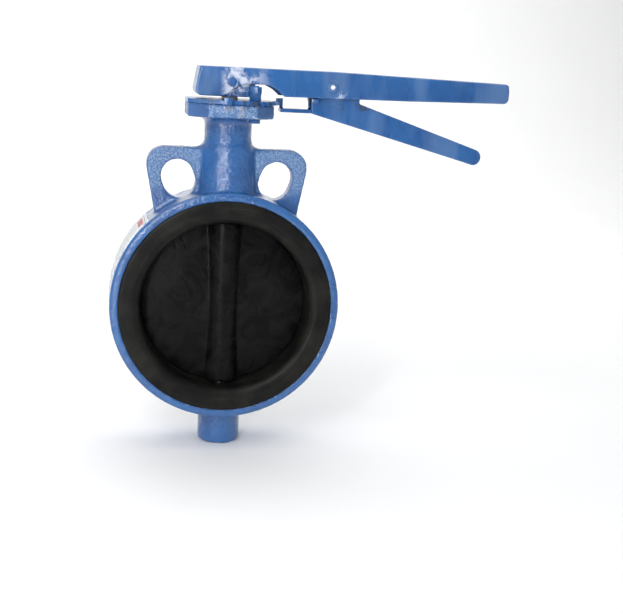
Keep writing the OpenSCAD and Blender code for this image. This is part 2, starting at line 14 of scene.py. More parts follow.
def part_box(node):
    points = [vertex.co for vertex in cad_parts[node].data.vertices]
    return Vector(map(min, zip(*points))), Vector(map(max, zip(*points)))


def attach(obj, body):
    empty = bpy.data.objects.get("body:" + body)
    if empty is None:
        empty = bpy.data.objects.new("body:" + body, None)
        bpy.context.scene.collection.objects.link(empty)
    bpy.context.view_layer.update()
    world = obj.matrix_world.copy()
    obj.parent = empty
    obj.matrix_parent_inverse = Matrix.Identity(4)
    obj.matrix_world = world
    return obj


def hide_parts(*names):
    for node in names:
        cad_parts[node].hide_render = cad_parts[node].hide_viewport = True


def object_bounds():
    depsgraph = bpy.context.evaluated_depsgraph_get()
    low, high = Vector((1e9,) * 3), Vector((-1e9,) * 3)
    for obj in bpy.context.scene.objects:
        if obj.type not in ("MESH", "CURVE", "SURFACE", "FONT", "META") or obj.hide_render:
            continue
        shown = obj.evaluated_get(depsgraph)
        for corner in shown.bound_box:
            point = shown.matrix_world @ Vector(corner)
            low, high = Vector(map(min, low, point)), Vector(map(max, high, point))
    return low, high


bl_info = {
    "name": "Butterfly valve",
    "version": (1, 0, 0),
    "blender": (4, 5, 0),
    "location": "3D View > Sidebar > Valve",
    "description": "Builds the surfaces and finishes of a wafer butterfly valve on its packed frame",
    "category": "Object",
}

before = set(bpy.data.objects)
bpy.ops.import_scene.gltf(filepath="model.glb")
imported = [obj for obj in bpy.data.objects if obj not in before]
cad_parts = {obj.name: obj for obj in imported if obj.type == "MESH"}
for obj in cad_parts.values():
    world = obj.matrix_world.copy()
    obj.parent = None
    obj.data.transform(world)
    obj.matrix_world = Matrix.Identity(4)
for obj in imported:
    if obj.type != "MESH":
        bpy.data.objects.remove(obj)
PACKED_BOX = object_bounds()

BODY = "valve_body"
MOVING = "lever_and_disc"
TRIGGER = "trigger"

CASTING_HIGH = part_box("body")[1]
DISC_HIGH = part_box("disc")[1]
LEVER_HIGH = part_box("lever")[1]
PLATE_LOW, PLATE_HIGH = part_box("notch_plate")
PIN_LOW, PIN_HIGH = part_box("trigger_pin")
CROSS_LOW, CROSS_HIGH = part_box("cross_pin")
LABEL_LOW, LABEL_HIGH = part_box("name_plate")

MILLIMETRE = 0.001
RING_RADIUS = CASTING_HIGH.x
FLANGE_Y = CASTING_HIGH.y
FLANGE_TOP = PLATE_LOW.z
DISC_RADIUS = DISC_HIGH.x
CROSS_PIN = (CROSS_LOW + CROSS_HIGH) / 2
TRIGGER_PIN = (PIN_LOW + PIN_HIGH) / 2

# Where a skin changes: each pair is the place where a change starts and the place where it ends
STEM_CLEARANCE = 0.016
RING_OUTSIDE = RING_RADIUS - 0.001
RING_SAND = 0.22
EAR_SAND_X = (0.020, 0.028)
EAR_SAND_Z = (RING_RADIUS, RING_RADIUS + 0.004)
FLANGE_SAND_FOOT = (FLANGE_TOP - 0.016, FLANGE_TOP - 0.012)
FLANGE_SAND_TOP = (FLANGE_TOP - 0.0012, FLANGE_TOP - 0.0004)
SHOULDER_RISE = (0.006, 0.016)
SHOULDER_X = (0.032, 0.042)
CROWN_EDGE = DISC_RADIUS + 0.0015
CROWN_Y = (0.002, 0.008)
LEVER_FALL_X = (0.100, LEVER_HIGH.x)
LEVER_FALL = 3.6 * MILLIMETRE

# Where a finish changes, in the same way
EAR_ROUGH_X = (0.022, 0.027)
EAR_ROUGH_Z = (RING_RADIUS - 0.006, RING_RADIUS + 0.004)
FLANGE_ROUGH_Z = (FLANGE_TOP - 0.0135, FLANGE_TOP - 0.0125)
# How squarely a face must look along the pipe to take the painted sheen of the rough faces
FRONT_FACING = (0.80, 0.94)
CHIP_RADIUS = (RING_RADIUS - 0.0035, RING_RADIUS - 0.001)
CHIP_Y = (FLANGE_Y - 0.0035, FLANGE_Y - 0.001)
CROSS_RUB = (0.006, 0.036)
CROSS_RUB_X = (-0.012, -0.004)
PIN_RUB = (0.004, 0.013)
SHEET_SIDE_Y = (LEVER_HIGH.y + 0.0001, LEVER_HIGH.y + 0.0004)
# Radius and end place of the painted glint on the trigger pin's ends
PIN_GLINT_RADIUS = (0.0016, 0.0024)
PIN_END_Y = (PIN_HIGH.y - 0.0014, PIN_HIGH.y - 0.0012)
TOOTH_LOW_Z = (FLANGE_TOP - 0.004, FLANGE_TOP)
TOOTH_HIGH_Z = (PLATE_HIGH.z, PLATE_HIGH.z + 0.002)


# ---------------------------------------------------------------- settings

class CastingSettings(bpy.types.PropertyGroup):
    """Sizes of the cast body's skin."""
    grid: FloatProperty(
        name="Skin grid", description="Cell size of the casting's mesh",
        default=1.45 * MILLIMETRE, min=0.0008, max=0.004, unit="LENGTH")
    sand_depth: FloatProperty(
        name="Sand depth", description="Height of the sand marks on the rough faces",
        default=0.9 * MILLIMETRE, min=0, max=0.002, unit="LENGTH")
    sand_grain: FloatProperty(
        name="Sand grain", description="Size of one mark left by the sand mould",
        default=3.2 * MILLIMETRE, min=0.0005, max=0.01, unit="LENGTH")
    shoulder: FloatProperty(
        name="Shoulder height", description="Height where the ears' top runs into the neck",
        default=RING_RADIUS + 37.7 * MILLIMETRE, min=0.1, max=0.2, unit="LENGTH")
    shoulder_passes: IntProperty(
        name="Shoulder passes", description="Smoothing passes that round the shoulder",
        default=30, min=0, max=80)


class InsideSettings(bpy.types.PropertyGroup):
    """Sizes of the skins of the seat and the disc."""
    seat_grid: FloatProperty(
        name="Seat grid", description="Cell size of the seat's mesh",
        default=1.3 * MILLIMETRE, min=0.0008, max=0.004, unit="LENGTH")
    seat_crown: FloatProperty(
        name="Seat crown", description="Height of the crown that closes on the disc's edge",
        default=0.6 * MILLIMETRE, min=0, max=0.001, unit="LENGTH")
    disc_grid: FloatProperty(
        name="Disc grid", description="Cell size of the disc's mesh",
        default=1.0 * MILLIMETRE, min=0.0008, max=0.004, unit="LENGTH")


class SheetSettings(bpy.types.PropertyGroup):
    """Sizes of the pressed lever and trigger."""
    lever_grid: FloatProperty(
        name="Lever grid", description="Cell size of the lever's mesh",
        default=0.8 * MILLIMETRE, min=0.0005, max=0.002, unit="LENGTH")
    trigger_grid: FloatProperty(
        name="Trigger grid", description="Cell size of the trigger's mesh",
        default=0.6 * MILLIMETRE, min=0.0004, max=0.002, unit="LENGTH")
    bend_reach: FloatProperty(
        name="Bend reach", description="Width of the rounded bend along the lever's top edges",
        default=4.6 * MILLIMETRE, min=0.001, max=0.008, unit="LENGTH")
    bend_passes: IntProperty(
        name="Bend passes", description="Smoothing passes that round the bends", default=26, min=0, max=80)


class EnamelSettings(bpy.types.PropertyGroup):
    """Colours of the paint."""
    casting_blue: FloatVectorProperty(
        name="Casting blue", description="Enamel on the cast iron", subtype="COLOR",
        size=3, default=(0.020, 0.112, 0.325), min=0, max=1)
    sheet_blue: FloatVectorProperty(
        name="Sheet blue", description="Enamel on the lever and trigger", subtype="COLOR",
        size=3, default=(0.021, 0.112, 0.325), min=0, max=1)
    shade_blue: FloatVectorProperty(
        name="Thick blue", description="Enamel where it has run thick", subtype="COLOR",
        size=3, default=(0.008, 0.060, 0.215), min=0, max=1)
    # A pale colour for dusting, also used for the painted sheen on the casting's faces that look along the
    # pipe and for the painted highlight stripes on the pressed parts
    dust_and_sheen: FloatVectorProperty(
        name="Dust", description="Pale dust on the rough faces", subtype="COLOR",
        size=3, default=(0.27, 0.41, 0.60), min=0, max=1)
    primer: FloatVectorProperty(
        name="Primer", description="Pale primer where the paint is rubbed", subtype="COLOR",
        size=3, default=(0.62, 0.66, 0.78), min=0, max=1)
    iron: FloatVectorProperty(
        name="Bare iron", description="Iron under a chip", subtype="COLOR",
        size=3, default=(0.045, 0.038, 0.035), min=0, max=1)


class StageSettings(bpy.types.PropertyGroup):
    """Camera, light and floor."""
    azimuth: FloatProperty(
        name="Azimuth", description="Camera's turn round the valve",
        default=math.radians(-10.989), subtype="ANGLE")
    elevation: FloatProperty(
        name="Elevation", description="Camera's height above the horizon",
        default=math.radians(12.706), subtype="ANGLE")
    roll: FloatProperty(
        name="Roll", description="Camera's turn about its own axis",
        default=math.radians(3.011), subtype="ANGLE")
    place: FloatVectorProperty(
        name="Camera place", description="Where the camera stands", subtype="TRANSLATION",
        size=3, default=(-0.11086, -1.01620, 0.22752))
    lens: FloatProperty(
        name="Lens", description="Focal length in millimetres", default=63.56, min=10, max=300)
    sensor: FloatProperty(
        name="Sensor", description="Sensor width in millimetres", default=36, min=5, max=60)
    floor_size: FloatProperty(
        name="Floor size", description="Length of one side of the floor",
        default=5.0, min=1, max=40, unit="LENGTH")
    key_power: FloatProperty(
        name="Key light", description="Power of the large light above and to the left",
        default=8.0, min=0, max=500, unit="POWER")
    strip_power: FloatProperty(
        name="Strip light", description="Power of the tall narrow light beside the camera",
        default=5.5, min=0, max=500, unit="POWER")
    fill_power: FloatProperty(
        name="Fill light", description="Power of the light to the right",
        default=1.6, min=0, max=500, unit="POWER")
    top_power: FloatProperty(
        name="Top light", description="Power of the wide light overhead",
        default=26, min=0, max=500, unit="POWER")
    backdrop_power: FloatProperty(
        name="Backdrop light", description="Power of the light on the backdrop",
        default=24, min=0, max=500, unit="POWER")
    front_glow: FloatProperty(
        name="Front glow", description="Brightness of the room in front of the valve",
        default=0.28, min=0, max=4)
    back_glow: FloatProperty(
        name="Back glow", description="Brightness of the room behind the valve", default=0.8, min=0, max=4)


# ---------------------------------------------------------------- finishes

class Finish:
    """A procedural material on Object coordinates, built up by small steps."""

    def __init__(self, name, roughness, metallic=0.0, coat=0.0, coat_roughness=0.05):
        self.material = bpy.data.materials.new(f"{name}_finish")
        self.material.use_nodes = True
        self.tree = self.material.node_tree
        self.shader = self.tree.nodes["Principled BSDF"]
        self.shader.inputs["Roughness"].default_value = roughness
        self.shader.inputs["Metallic"].default_value = metallic
        self.shader.inputs["Coat Weight"].default_value = coat
        self.shader.inputs["Coat Roughness"].default_value = coat_roughness
        self.place = self.tree.nodes.new("ShaderNodeTexCoord").outputs["Object"]

    def set(self, socket, value):
        """Give a socket a link or a fixed value."""
        if isinstance(value, bpy.types.NodeSocket):
            self.tree.links.new(value, socket)
        elif hasattr(socket.default_value, "__len__") and not hasattr(value, "__len__"):
            socket.default_value = [value] * len(socket.default_value)
        elif hasattr(socket.default_value, "__len__") and len(socket.default_value) == 4 and len(value) == 3:
            socket.default_value = (*value, 1.0)
        else:
            socket.default_value = value

    def stretched(self, scale):
        """Object coordinates scaled by a different number along each axis."""
        node = self.tree.nodes.new("ShaderNodeMapping")
        self.set(node.inputs["Vector"], self.place)
        self.set(node.inputs["Scale"], scale)
        return node.outputs["Vector"]

    def noise(self, cell, detail=4.0, roughness=0.55, vector=None, distortion=0.0):
        """Cloudy noise whose largest marks are about cell metres across."""
        node = self.tree.nodes.new("ShaderNodeTexNoise")
        self.set(node.inputs["Vector"], vector or self.place)
        self.set(node.inputs["Scale"], 1.0 / cell)
        self.set(node.inputs["Detail"], detail)
        self.set(node.inputs["Roughness"], roughness)
        self.set(node.inputs["Distortion"], distortion)
        return node.outputs["Fac"]

    def ramp(self, value, low, high, start=0.0, end=1.0):
        """Map value from low..high to start..end, held at the ends."""
        node = self.tree.nodes.new("ShaderNodeMapRange")
        node.interpolation_type = "SMOOTHSTEP"
        self.set(node.inputs["Value"], value)
        self.set(node.inputs["From Min"], low)
        self.set(node.inputs["From Max"], high)
        self.set(node.inputs["To Min"], start)
        self.set(node.inputs["To Max"], end)
        return node.outputs["Result"]

    def math(self, operation, first, second=0.0):
        node = self.tree.nodes.new("ShaderNodeMath")
        node.operation = operation
        self.set(node.inputs[0], first)
        self.set(node.inputs[1], second)
        return node.outputs["Value"]

    def mix(self, share, first, second):
        """Blend two colours."""
        node = self.tree.nodes.new("ShaderNodeMix")
        node.data_type = "RGBA"
        self.set(node.inputs[0], share)
        self.set(node.inputs[6], first)
        self.set(node.inputs[7], second)
        return node.outputs[2]

    def near(self, point, inner, outer):
        """1 within inner metres of a point, 0 beyond outer."""
        node = self.tree.nodes.new("ShaderNodeVectorMath")
        node.operation = "DISTANCE"
        self.set(node.inputs[0], self.place)
        self.set(node.inputs[1], point)
        return self.ramp(node.outputs["Value"], inner, outer, 1.0, 0.0)

    def axes(self):
        """X, Y and Z of the place."""
        node = self.tree.nodes.new("ShaderNodeSeparateXYZ")
        self.set(node.inputs["Vector"], self.place)
        return node.outputs["X"], node.outputs["Y"], node.outputs["Z"]

    def facing(self):
        """X, Y and Z of the surface's normal."""
        node = self.tree.nodes.new("ShaderNodeSeparateXYZ")
        normal = self.tree.nodes.new("ShaderNodeNewGeometry").outputs["Normal"]
        self.set(node.inputs["Vector"], normal)
        return node.outputs["X"], node.outputs["Y"], node.outputs["Z"]

    def radius(self, first, second):
        """Distance from an axis, from the two coordinates across it."""
        squares = self.math("ADD", self.math("MULTIPLY", first, first), self.math("MULTIPLY", second, second))
        return self.math("SQRT", squares)

    def bump(self, height, depth, under=None):
        """Relief of depth metres from a 0..1 height, on top of an earlier bump."""
        node = self.tree.nodes.new("ShaderNodeBump")
        self.set(node.inputs["Height"], height)
        self.set(node.inputs["Distance"], depth)
        self.set(node.inputs["Strength"], 1.0)
        if under is not None:
            self.set(node.inputs["Normal"], under)
        return node.outputs["Normal"]

    def dress(self, colour=None, roughness=None, normal=None, metallic=None):
        """Link the finished parts to the shader."""
        for name, value in (("Base Color", colour), ("Roughness", roughness), ("Normal", normal),
                            ("Metallic", metallic)):
            if value is not None:
                self.set(self.shader.inputs[name], value)
        if normal is not None and self.shader.inputs["Coat Weight"].default_value > 0:
            self.set(self.shader.inputs["Coat Normal"], normal)
        return self.material


def cast_enamel(paint):
    """Blue enamel over sand-cast iron: rough and dusty on ears and flange, with pale speckle that is partly
    dusting and partly a painted sheen on their faces that look along the pipe, smooth and glossy on the neck.
    """
    finish = Finish("cast_enamel", roughness=0.3, coat=0.7, coat_roughness=0.05)
    x, y, z = finish.axes()
    facing_y = finish.facing()[1]
    clouds = finish.noise(0.035, detail=6)
    grain = finish.noise(0.0018, detail=6, roughness=0.7)
    specks = finish.noise(0.0008, detail=3, roughness=0.8)
    ears = finish.math("MULTIPLY", finish.ramp(finish.math("ABSOLUTE", x), *EAR_ROUGH_X),
                       finish.ramp(z, *EAR_ROUGH_Z))
    flange = finish.ramp(z, *FLANGE_ROUGH_Z)
    rough = finish.math("MAXIMUM", ears, flange)
    front_sheen_faces = finish.math("MULTIPLY", rough,
                              finish.ramp(finish.math("ABSOLUTE", facing_y), *FRONT_FACING))
    colour = finish.mix(finish.ramp(clouds, 0.35, 0.65), paint.casting_blue, paint.shade_blue)
    colour = finish.mix(finish.ramp(clouds, 0.3, 0.7, 0.75, 0.25), colour, paint.casting_blue)
    # Pale speckle on the rough faces that look along the pipe: partly dusting, partly a painted sheen for the
    # glints of the front light on the rough cast
    pale = finish.math("MULTIPLY", finish.ramp(grain, 0.40, 0.66, 0.05, 0.8), front_sheen_faces)
    colour = finish.mix(pale, colour, paint.dust_and_sheen)
    haze = finish.math("MULTIPLY", finish.ramp(grain, 0.55, 0.75, 0.0, 0.22),
                       finish.ramp(clouds, 0.4, 0.6))
    colour = finish.mix(haze, colour, paint.dust_and_sheen)
    # Chips and scuffs on the flange's front and back flats, the only ones that far from the middle
    flats = finish.math("MULTIPLY", finish.ramp(finish.radius(x, z), *CHIP_RADIUS),
                        finish.ramp(finish.math("ABSOLUTE", y), *CHIP_Y))
    chip_noise = finish.noise(0.006, detail=8, roughness=0.7)
    chips = finish.math("MULTIPLY", flats, finish.ramp(chip_noise, 0.60, 0.62))
    colour = finish.mix(chips, colour, paint.iron)
    scuffs = finish.math("MULTIPLY", flats, finish.ramp(chip_noise, 0.53, 0.60, 0.0, 0.4))
    colour = finish.mix(scuffs, colour, paint.primer)
    roughness = finish.ramp(clouds, 0.3, 0.7, 0.20, 0.32)
    roughness = finish.math("ADD", roughness, finish.math("MULTIPLY", rough, 0.2))
    roughness = finish.math("ADD", roughness, finish.math("MULTIPLY", chips, 0.2))
    relief = finish.bump(finish.noise(0.012, detail=4, roughness=0.65), 2.2 * MILLIMETRE)
    relief = finish.bump(finish.math("MULTIPLY", grain, finish.ramp(rough, 0, 1, 0.18, 1.0)),
                         0.9 * MILLIMETRE, relief)
    relief = finish.bump(finish.math("MULTIPLY", specks, finish.ramp(rough, 0, 1, 0.1, 0.6)),
                         0.25 * MILLIMETRE, relief)
    relief = finish.bump(finish.math("SUBTRACT", 1.0, chips), 0.25 * MILLIMETRE, relief)
    return finish.dress(colour, roughness, relief)


def pressed_enamel(paint):
    """Blue enamel on pressed steel, with runs, pale stripes of painted highlight, a fine orange peel, paint
    rubbed pale round the pins and a painted glint on the trigger pin's ends.
    """
    finish = Finish("pressed_enamel", roughness=0.3, coat=0.3, coat_roughness=0.08)
    x, y, z = finish.axes()
    clouds = finish.noise(0.05, detail=5)
    sheen_bands = finish.noise(0.03, detail=3, vector=finish.stretched((1.0, 0.25, 0.25)))
    grain = finish.noise(0.0012, detail=5, roughness=0.7)
    colour = finish.mix(finish.ramp(clouds, 0.35, 0.7, 0.0, 0.8), paint.sheet_blue, paint.shade_blue)
    # Pale stripes across the sheet: a painted highlight
    colour = finish.mix(finish.ramp(sheen_bands, 0.45, 0.7, 0.0, 0.2), colour, paint.dust_and_sheen)
    rub_noise = finish.noise(0.011, detail=9, roughness=0.72, distortion=0.6)
    cross_end = CROSS_PIN + Vector((0.004, CROSS_LOW.y, 0))
    rubbed_cross = finish.math("MULTIPLY", finish.near(cross_end, *CROSS_RUB),
                               finish.ramp(rub_noise, 0.42, 0.58))
    rubbed_cross = finish.math("MULTIPLY", rubbed_cross, finish.ramp(x, *CROSS_RUB_X))
    sheet_only = finish.ramp(finish.math("ABSOLUTE", y), *SHEET_SIDE_Y, 1.0, 0.0)
    rubbed_cross = finish.math("MULTIPLY", rubbed_cross, sheet_only)
    pin_end = TRIGGER_PIN + Vector((0.004, PIN_LOW.y, -0.003))
    rubbed_pin = finish.math("MULTIPLY", finish.near(pin_end, *PIN_RUB),
                             finish.ramp(rub_noise, 0.52, 0.60))
    rubbed = finish.math("MAXIMUM", rubbed_cross, rubbed_pin)
    colour = finish.mix(finish.math("MULTIPLY", rubbed, 0.9), colour, paint.primer)
    # A painted glint: near-white in the middle of each end of the trigger pin
    pin_middle = finish.radius(finish.math("SUBTRACT", x, TRIGGER_PIN.x),
                               finish.math("SUBTRACT", z, TRIGGER_PIN.z))
    bright = finish.math("MULTIPLY", finish.ramp(pin_middle, *PIN_GLINT_RADIUS, 1.0, 0.0),
                         finish.ramp(finish.math("ABSOLUTE", y), *PIN_END_Y))
    colour = finish.mix(bright, colour, (0.80, 0.81, 0.82))
    specks = finish.ramp(finish.noise(0.0035, detail=6, roughness=0.75), 0.68, 0.72, 0.0, 0.7)
    colour = finish.mix(specks, colour, paint.primer)
    chip_noise = finish.noise(0.009, detail=8, roughness=0.75)
    near_teeth = finish.math("MULTIPLY", finish.ramp(z, *TOOTH_LOW_Z),
                             finish.ramp(z, *TOOTH_HIGH_Z, 1.0, 0.0))
    chips = finish.math("MULTIPLY", near_teeth, finish.ramp(chip_noise, 0.55, 0.58, 0.0, 0.8))
    colour = finish.mix(chips, colour, paint.iron)
    roughness = finish.ramp(sheen_bands, 0.3, 0.7, 0.22, 0.36)
    roughness = finish.math("ADD", roughness, finish.math("MULTIPLY", rubbed, 0.25))
    relief = finish.bump(finish.noise(0.004, detail=3), 0.12 * MILLIMETRE)
    relief = finish.bump(grain, 0.06 * MILLIMETRE, relief)
    relief = finish.bump(finish.math("SUBTRACT", 1.0, rubbed), 0.15 * MILLIMETRE, relief)
    return finish.dress(colour, roughness, relief)


def seat_rubber():
    """Moulded black rubber with fine turned streaks in olive-brown, partly a bloom and partly a painted
    sheen.
    """
    finish = Finish("seat_rubber", roughness=0.42)
    finish.shader.inputs["Specular IOR Level"].default_value = 0.13
    x, y, z = finish.axes()
    radius = finish.radius(x, z)
    clouds = finish.noise(0.03, detail=6, roughness=0.6)
    streak_place = finish.tree.nodes.new("ShaderNodeCombineXYZ")
    finish.set(streak_place.inputs["X"], finish.math("MULTIPLY", radius, 14.0))
    finish.set(streak_place.inputs["Y"], finish.math("MULTIPLY", finish.math("ARCTAN2", z, x), 0.02))
    finish.set(streak_place.inputs["Z"], y)
    streaks = finish.noise(0.012, detail=6, roughness=0.7, vector=streak_place.outputs["Vector"])
    colour = finish.mix(finish.ramp(clouds, 0.35, 0.7), (0.004, 0.004, 0.0045), (0.014, 0.0135, 0.011))
    # Olive-brown along the streaks: partly a bloom on the rubber, partly a painted sheen
    colour = finish.mix(finish.ramp(streaks, 0.52, 0.75, 0.0, 0.5), colour, (0.050, 0.047, 0.038))
    roughness = finish.ramp(streaks, 0.3, 0.7, 0.30, 0.52)
    relief = finish.bump(streaks, 0.10 * MILLIMETRE)
    relief = finish.bump(finish.noise(0.0012, detail=4), 0.05 * MILLIMETRE, relief)
    return finish.dress(colour, roughness, relief)


def seal_rubber():
    """Smooth oiled rubber."""
    finish = Finish("seal_rubber", roughness=0.3)
    clouds = finish.noise(0.004, detail=4)
    colour = finish.mix(clouds, (0.008, 0.008, 0.008), (0.025, 0.025, 0.024))
    roughness = finish.ramp(clouds, 0.3, 0.7, 0.22, 0.4)
    return finish.dress(colour, roughness, finish.bump(clouds, 0.03 * MILLIMETRE))


def disc_coating():
    """Satin black coating on a cast disc, a little dusty and brushed in swirls."""
    finish = Finish("disc_coating", roughness=0.38)
    finish.shader.inputs["Specular IOR Level"].default_value = 0.07
    swirls = finish.noise(0.028, detail=7, roughness=0.62, distortion=1.6)
    fine = finish.noise(0.0025, detail=5, roughness=0.7)
    colour = finish.mix(finish.ramp(swirls, 0.35, 0.7), (0.0035, 0.0035, 0.004), (0.010, 0.010, 0.0105))
    colour = finish.mix(finish.ramp(fine, 0.62, 0.75, 0.0, 0.3), colour, (0.05, 0.05, 0.049))
    roughness = finish.ramp(swirls, 0.3, 0.7, 0.22, 0.42)
    relief = finish.bump(swirls, 0.5 * MILLIMETRE)
    relief = finish.bump(fine, 0.12 * MILLIMETRE, relief)
    return finish.dress(colour, roughness, relief)


def turned_metal(name, dark, bright, roughness, stretch=(0.3, 0.3, 6.0)):
    """Metal with the fine rings that a lathe leaves."""
    finish = Finish(name, roughness=roughness, metallic=1.0)
    rings = finish.noise(0.004, detail=5, roughness=0.7, vector=finish.stretched(stretch))
    stains = finish.noise(0.012, detail=6)
    colour = finish.mix(finish.ramp(rings, 0.3, 0.7), dark, bright)
    colour = finish.mix(finish.ramp(stains, 0.55, 0.75, 0.0, 0.6), colour, dark)
    varied = finish.ramp(stains, 0.3, 0.7, roughness * 0.8, roughness * 1.4)
    return finish.dress(colour, varied, finish.bump(rings, 0.04 * MILLIMETRE))


def printed_foil():
    """Silver foil printed with a border, ruled rows and a red band, on the plate's own map."""
    finish = Finish("foil", roughness=0.3, metallic=0.85)
    uv = finish.tree.nodes.new("ShaderNodeTexCoord").outputs["UV"]
    split = finish.tree.nodes.new("ShaderNodeSeparateXYZ")
    finish.set(split.inputs["Vector"], uv)
    across, along = split.outputs["X"], split.outputs["Y"]

    def band(value, centre, half, soft=0.004):
        gap = finish.math("ABSOLUTE", finish.math("SUBTRACT", value, centre))
        return finish.ramp(gap, half - soft, half + soft, 1.0, 0.0)

    def both(first, second):
        return finish.math("MULTIPLY", first, second)

    def either(first, second):
        return finish.math("MAXIMUM", first, second)

    frame_outer = both(band(across, 0.5, 0.455), band(along, 0.5, 0.440))
    frame_inner = both(band(across, 0.5, 0.443), band(along, 0.5, 0.424))
    border = both(frame_outer, finish.math("SUBTRACT", 1.0, frame_inner))
    rows = None
    for row in range(7):
        line = both(band(across, 0.46, 0.31), band(along, 0.20 + 0.10 * row, 0.006))
        rows = line if rows is None else either(rows, line)
    columns = both(band(across, 0.36, 0.004), band(along, 0.5, 0.32))
    ink = either(either(border, rows), columns)
    red = both(band(across, 0.86, 0.055), band(along, 0.5, 0.36))
    scratches = finish.noise(0.0015, detail=6, roughness=0.7, vector=finish.stretched((0.2, 1.0, 3.0)))
    silver = finish.mix(finish.ramp(scratches, 0.35, 0.7), (0.62, 0.64, 0.66), (0.80, 0.81, 0.82))
    colour = finish.mix(red, silver, (0.42, 0.02, 0.03))
    colour = finish.mix(finish.math("MULTIPLY", ink, 0.9), colour, (0.03, 0.03, 0.04))
    metallic = finish.math("SUBTRACT", 0.85, finish.math("MULTIPLY", either(ink, red), 0.7))
    relief = finish.bump(scratches, 0.03 * MILLIMETRE)
    relief = finish.bump(finish.noise(0.008, detail=3), 0.12 * MILLIMETRE, relief)
    return finish.dress(colour, finish.ramp(scratches, 0.3, 0.7, 0.24, 0.42), relief, metallic)


def floor_paint():
    """Plain pale floor with the faintest mottling."""
    finish = Finish("floor_paint", roughness=0.6)
    clouds = finish.noise(0.3, detail=4)
    colour = finish.mix(clouds, (0.88, 0.88, 0.88), (0.92, 0.92, 0.92))
    return finish.dress(colour, finish.ramp(clouds, 0, 1, 0.55, 0.7))


def finish_named(name):
    """The material of a slot, made the first time it is asked for."""
    made = bpy.data.materials.get(f"{name}_finish")
    if made is not None:
        return made
    paint = bpy.context.scene.valve_enamel
    makers = {
        "cast_enamel": lambda: cast_enamel(paint),
        "pressed_enamel": lambda: pressed_enamel(paint),
        "seat_rubber": seat_rubber,
        "seal_rubber": seal_rubber,
        "disc_coating": disc_coating,
        "stainless": lambda: turned_metal("stainless", (0.42, 0.42, 0.41), (0.66, 0.66, 0.64), 0.26),
        "zinc_steel": lambda: turned_metal("zinc_steel", (0.50, 0.51, 0.53), (0.72, 0.73, 0.74), 0.3),
        "spring_steel": lambda: turned_metal("spring_steel", (0.10, 0.10, 0.11), (0.25, 0.25, 0.26), 0.36),
        "bronze": lambda: turned_metal("bronze", (0.34, 0.19, 0.07), (0.62, 0.40, 0.18), 0.32),
        "foil": printed_foil,
        "floor_paint": floor_paint,
    }
    return makers[name]()


# ---------------------------------------------------------------- mesh tools

def deselect_all():
    """Leave edit mode and select nothing."""
    if bpy.context.object is not None and bpy.context.object.mode != "OBJECT":
        bpy.ops.object.mode_set(mode="OBJECT")
    bpy.ops.object.select_all(action="DESELECT")


def take_up(piece):
    """Make a piece the only selected object."""
    deselect_all()
    piece.select_set(True)
    bpy.context.view_layer.objects.active = piece


def merged_copy(node, name):
    """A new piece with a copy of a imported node's mesh, its loose triangles joined."""
    piece = bpy.data.objects.new(name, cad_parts[node].data.copy())
    bpy.context.scene.collection.objects.link(piece)
    take_up(piece)
    bpy.ops.object.mode_set(mode="EDIT")
    bpy.ops.mesh.select_all(action="SELECT")
    bpy.ops.mesh.remove_doubles(threshold=0.00001)
    bpy.ops.object.mode_set(mode="OBJECT")
    return piece


def flatten_faces(piece, limit=math.radians(1.0)):
    """Join the triangles of each flat face."""
    take_up(piece)
    bpy.ops.object.mode_set(mode="EDIT")
    bpy.ops.mesh.select_all(action="SELECT")
    bpy.ops.mesh.dissolve_limited(angle_limit=limit)
    bpy.ops.object.mode_set(mode="OBJECT")


def apply_modifier(piece, kind, **values):
    """Add a modifier, set it and apply it."""
    modifier = piece.modifiers.new(kind.lower(), kind)
    for name, value in values.items():
        setattr(modifier, name, value)
    take_up(piece)
    bpy.ops.object.modifier_apply(modifier=modifier.name)


def even_skin(piece, grid, passes):
    """Give a piece an even skin of small faces, with its sharp edges eased."""
    apply_modifier(piece, "REMESH", mode="VOXEL", voxel_size=grid, use_smooth_shade=True)
    apply_modifier(piece, "SMOOTH", factor=0.5, iterations=passes)


def smooth_shade(piece, angle=math.radians(32)):
    """Shade smoothly, with edges sharper than the angle kept."""
    take_up(piece)
    bpy.ops.object.shade_smooth_by_angle(angle=angle)


def smooth_all(piece):
    """Shade the whole piece smoothly."""
    take_up(piece)
    bpy.ops.object.shade_smooth()


def weigh(piece, group_name, weight_at):
    """Fill a vertex group by a function of each point's place."""
    group = piece.vertex_groups.new(name=group_name)
    for vertex in piece.data.vertices:
        weight = weight_at(vertex.co)
        if weight > 0:
            group.add([vertex.index], min(weight, 1.0), "REPLACE")


def settle(piece, body, slot, node, finish=None):
    """Hand a finished piece to its body, with its finish, in place of the node it stands for."""
    piece.data.materials.clear()
    piece.data.materials.append(finish_named(finish or slot))
    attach(piece, body)
    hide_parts(node)


def smooth_step(low, high, value):
    """0 below low, 1 above high, and an even curve between."""
    share = min(max((value - low) / (high - low), 0.0), 1.0)
    return share * share * (3 - 2 * share)


def eased_piece(node, body, slot, width, segments=2, finish=None):
    """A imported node's shape with its sharp edges rounded by width."""
    piece = merged_copy(node, f"{node}_finished")
    flatten_faces(piece)
    apply_modifier(piece, "BEVEL", width=width, segments=segments, limit_method="ANGLE",
                   angle_limit=math.radians(35), use_clamp_overlap=True)
    smooth_shade(piece)
    settle(piece, body, slot, node, finish=finish)
    return piece


# ---------------------------------------------------------------- pieces

